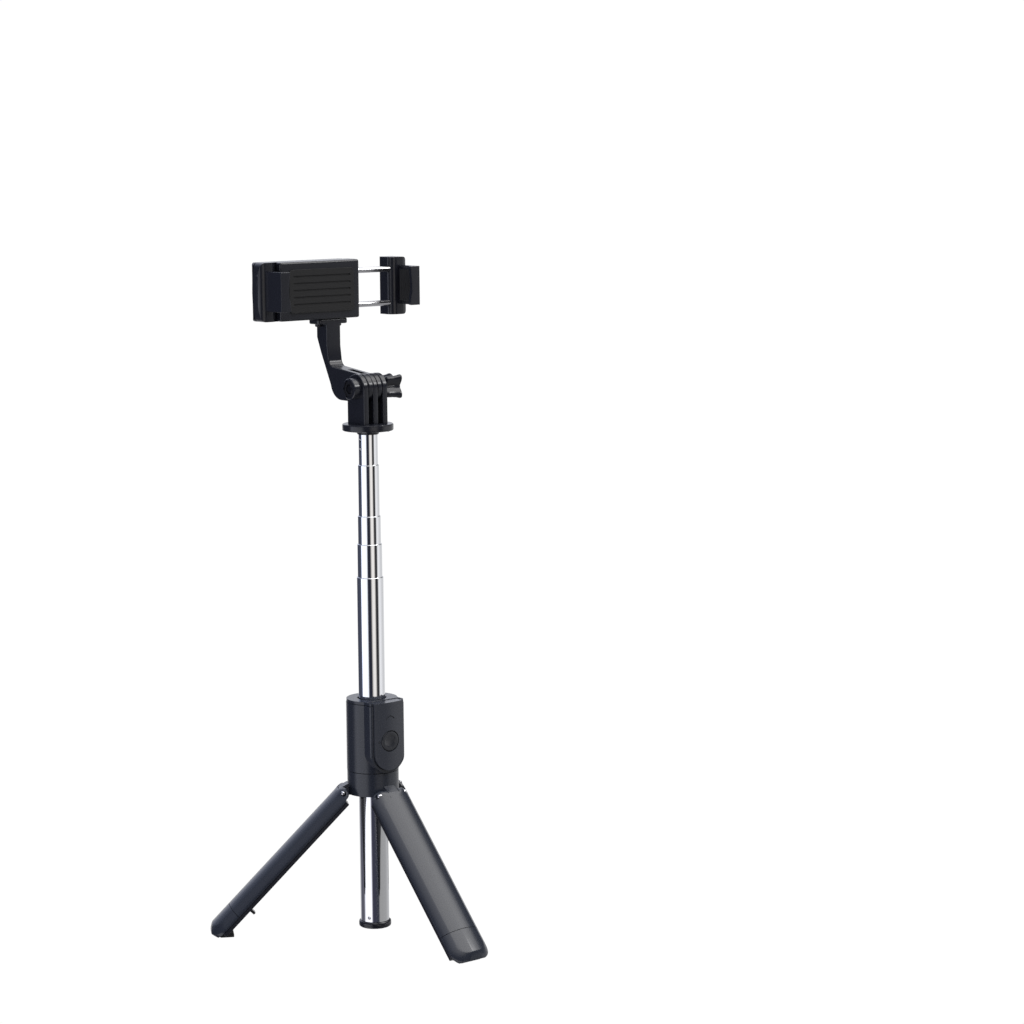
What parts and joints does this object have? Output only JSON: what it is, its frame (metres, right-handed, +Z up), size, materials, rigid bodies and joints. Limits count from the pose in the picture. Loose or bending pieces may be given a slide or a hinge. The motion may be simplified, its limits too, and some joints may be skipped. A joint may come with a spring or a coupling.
{
  "type": "selfie stick",
  "caption": "Telescopic pole on a fold-out tripod grip, with a slide-out remote control and a tilting head that carries a sprung phone clamp.",
  "frame": {"origin": "centre of the bottom face of the pole's end plug", "axes": "+Z up the pole to the phone holder, -Y to the front where the remote and one leg are, +X to the thumb knob"},
  "size_m": [0.159, 0.1386, 0.3517],
  "materials": {
    "chromed_tube": "polished",
    "white_nylon": "matte",
    "satin_black": "satin",
    "matte_black": "matte",
    "black_rubber": "matte",
    "steel": "brushed",
    "black_steel": "black oxide",
    "green_board": "lacquered",
    "smoked_lens": "gloss"
  },
  "bodies": {
    "base": {"tube_1": "chromed_tube", "end_plug": "matte_black", "end_plug_pin": "steel", "tube_sleeve": "white_nylon", "body_shell": "satin_black", "body_top_cap": "satin_black", "leg_hub": "satin_black", "front_leg_pin": "steel", "left_leg_pin": "steel", "right_leg_pin": "steel"},
    "section_2": {"tube_2": "chromed_tube", "slide_bush_2": "white_nylon"},
    "section_3": {"tube_3": "chromed_tube", "slide_bush_3": "white_nylon"},
    "section_4": {"tube_4": "chromed_tube", "slide_bush_4": "white_nylon"},
    "section_5": {"tube_5": "chromed_tube", "slide_bush_5": "white_nylon"},
    "top_bush": {"slide_bush_6": "white_nylon"},
    "top_section": {"tube_6": "chromed_tube", "head_base": "matte_black", "head_pin_1": "steel", "head_pin_2": "steel", "hex_nut": "black_steel"},
    "knob": {"thumb_knob": "matte_black", "clamp_screw": "steel"},
    "holder": {"holder_arm": "matte_black", "holder_screw_1": "black_steel", "holder_screw_2": "black_steel", "fixed_jaw": "matte_black", "clamp_cover": "matte_black", "cover_screw_1": "black_steel", "cover_screw_2": "black_steel", "fixed_jaw_pad": "black_rubber", "rest_pad": "black_rubber", "clamp_spring_1": "steel", "clamp_spring_2": "steel"},
    "slider": {"sliding_jaw": "matte_black", "sliding_jaw_pad": "black_rubber", "guide_rod_1": "steel", "guide_rod_2": "steel", "rod_yoke": "steel"},
    "remote": {"remote_front_shell": "satin_black", "remote_rear_shell": "satin_black", "status_led": "smoked_lens", "circuit_board": "green_board", "coin_cell": "steel"},
    "button": {"remote_button": "matte_black"},
    "front_leg": {"front_leg_shell": "satin_black", "front_leg_liner": "matte_black", "front_foot_cap": "satin_black", "front_foot_pad": "black_rubber"},
    "left_leg": {"left_leg_shell": "satin_black", "left_leg_liner": "matte_black", "left_foot_cap": "satin_black", "left_foot_pad": "black_rubber"},
    "right_leg": {"right_leg_shell": "satin_black", "right_leg_liner": "matte_black", "right_foot_cap": "satin_black", "right_foot_pad": "black_rubber"}
  },
  "joints": [
    {"name": "front_leg_fold", "type": "hinge", "parent": "base", "child": "front_leg", "pos_m": [0, -0.0166, 0.0742], "axis": [-1, 0, 0], "range_deg": [-44, 0]},
    {"name": "left_leg_fold", "type": "hinge", "parent": "base", "child": "left_leg", "pos_m": [-0.01438, 0.0083, 0.0742], "axis": [0.5, 0.866, 0], "range_deg": [-44, 0]},
    {"name": "right_leg_fold", "type": "hinge", "parent": "base", "child": "right_leg", "pos_m": [0.01438, 0.0083, 0.0742], "axis": [0.5, -0.866, 0], "range_deg": [-44, 0]},
    {"name": "section_2_slide", "type": "slide", "parent": "base", "child": "section_2", "axis": [0, 0, 1], "range_m": [-0.0633, 0.0305]},
    {"name": "section_3_slide", "type": "slide", "parent": "section_2", "child": "section_3", "axis": [0, 0, 1], "range_m": [-0.0164, 0.0786]},
    {"name": "section_4_slide", "type": "slide", "parent": "section_3", "child": "section_4", "axis": [0, 0, 1], "range_m": [-0.0137, 0.0813]},
    {"name": "section_5_slide", "type": "slide", "parent": "section_4", "child": "section_5", "axis": [0, 0, 1], "range_m": [-0.0257, 0.0693]},
    {"name": "section_6_slide", "type": "slide", "parent": "section_5", "child": "top_bush", "axis": [0, 0, 1], "range_m": [-0.0152, 0.0782]},
    {"name": "head_turn", "type": "hinge", "parent": "top_bush", "child": "top_section", "pos_m": [0, 0, 0.2], "axis": [0, 0, 1], "continuous": true},
    {"name": "head_tilt", "type": "hinge", "parent": "top_section", "child": "holder", "pos_m": [0, 0, 0.286], "axis": [1, 0, 0], "range_deg": [-30, 180]},
    {"name": "knob_turn", "type": "hinge", "parent": "top_section", "child": "knob", "pos_m": [0.012, 0, 0.286], "axis": [1, 0, 0], "continuous": true},
    {"name": "clamp_slide", "type": "slide", "parent": "holder", "child": "slider", "axis": [1, 0, 0], "range_m": [-0.0215, 0.004]},
    {"name": "remote_slide", "type": "slide", "parent": "base", "child": "remote", "axis": [0, 0, 1], "range_m": [0, 0.037]},
    {"name": "button_press", "type": "slide", "parent": "remote", "child": "button", "axis": [0, 1, 0], "range_m": [0, 0.0004], "stiffness_N_per_m": 1500}
  ]
}
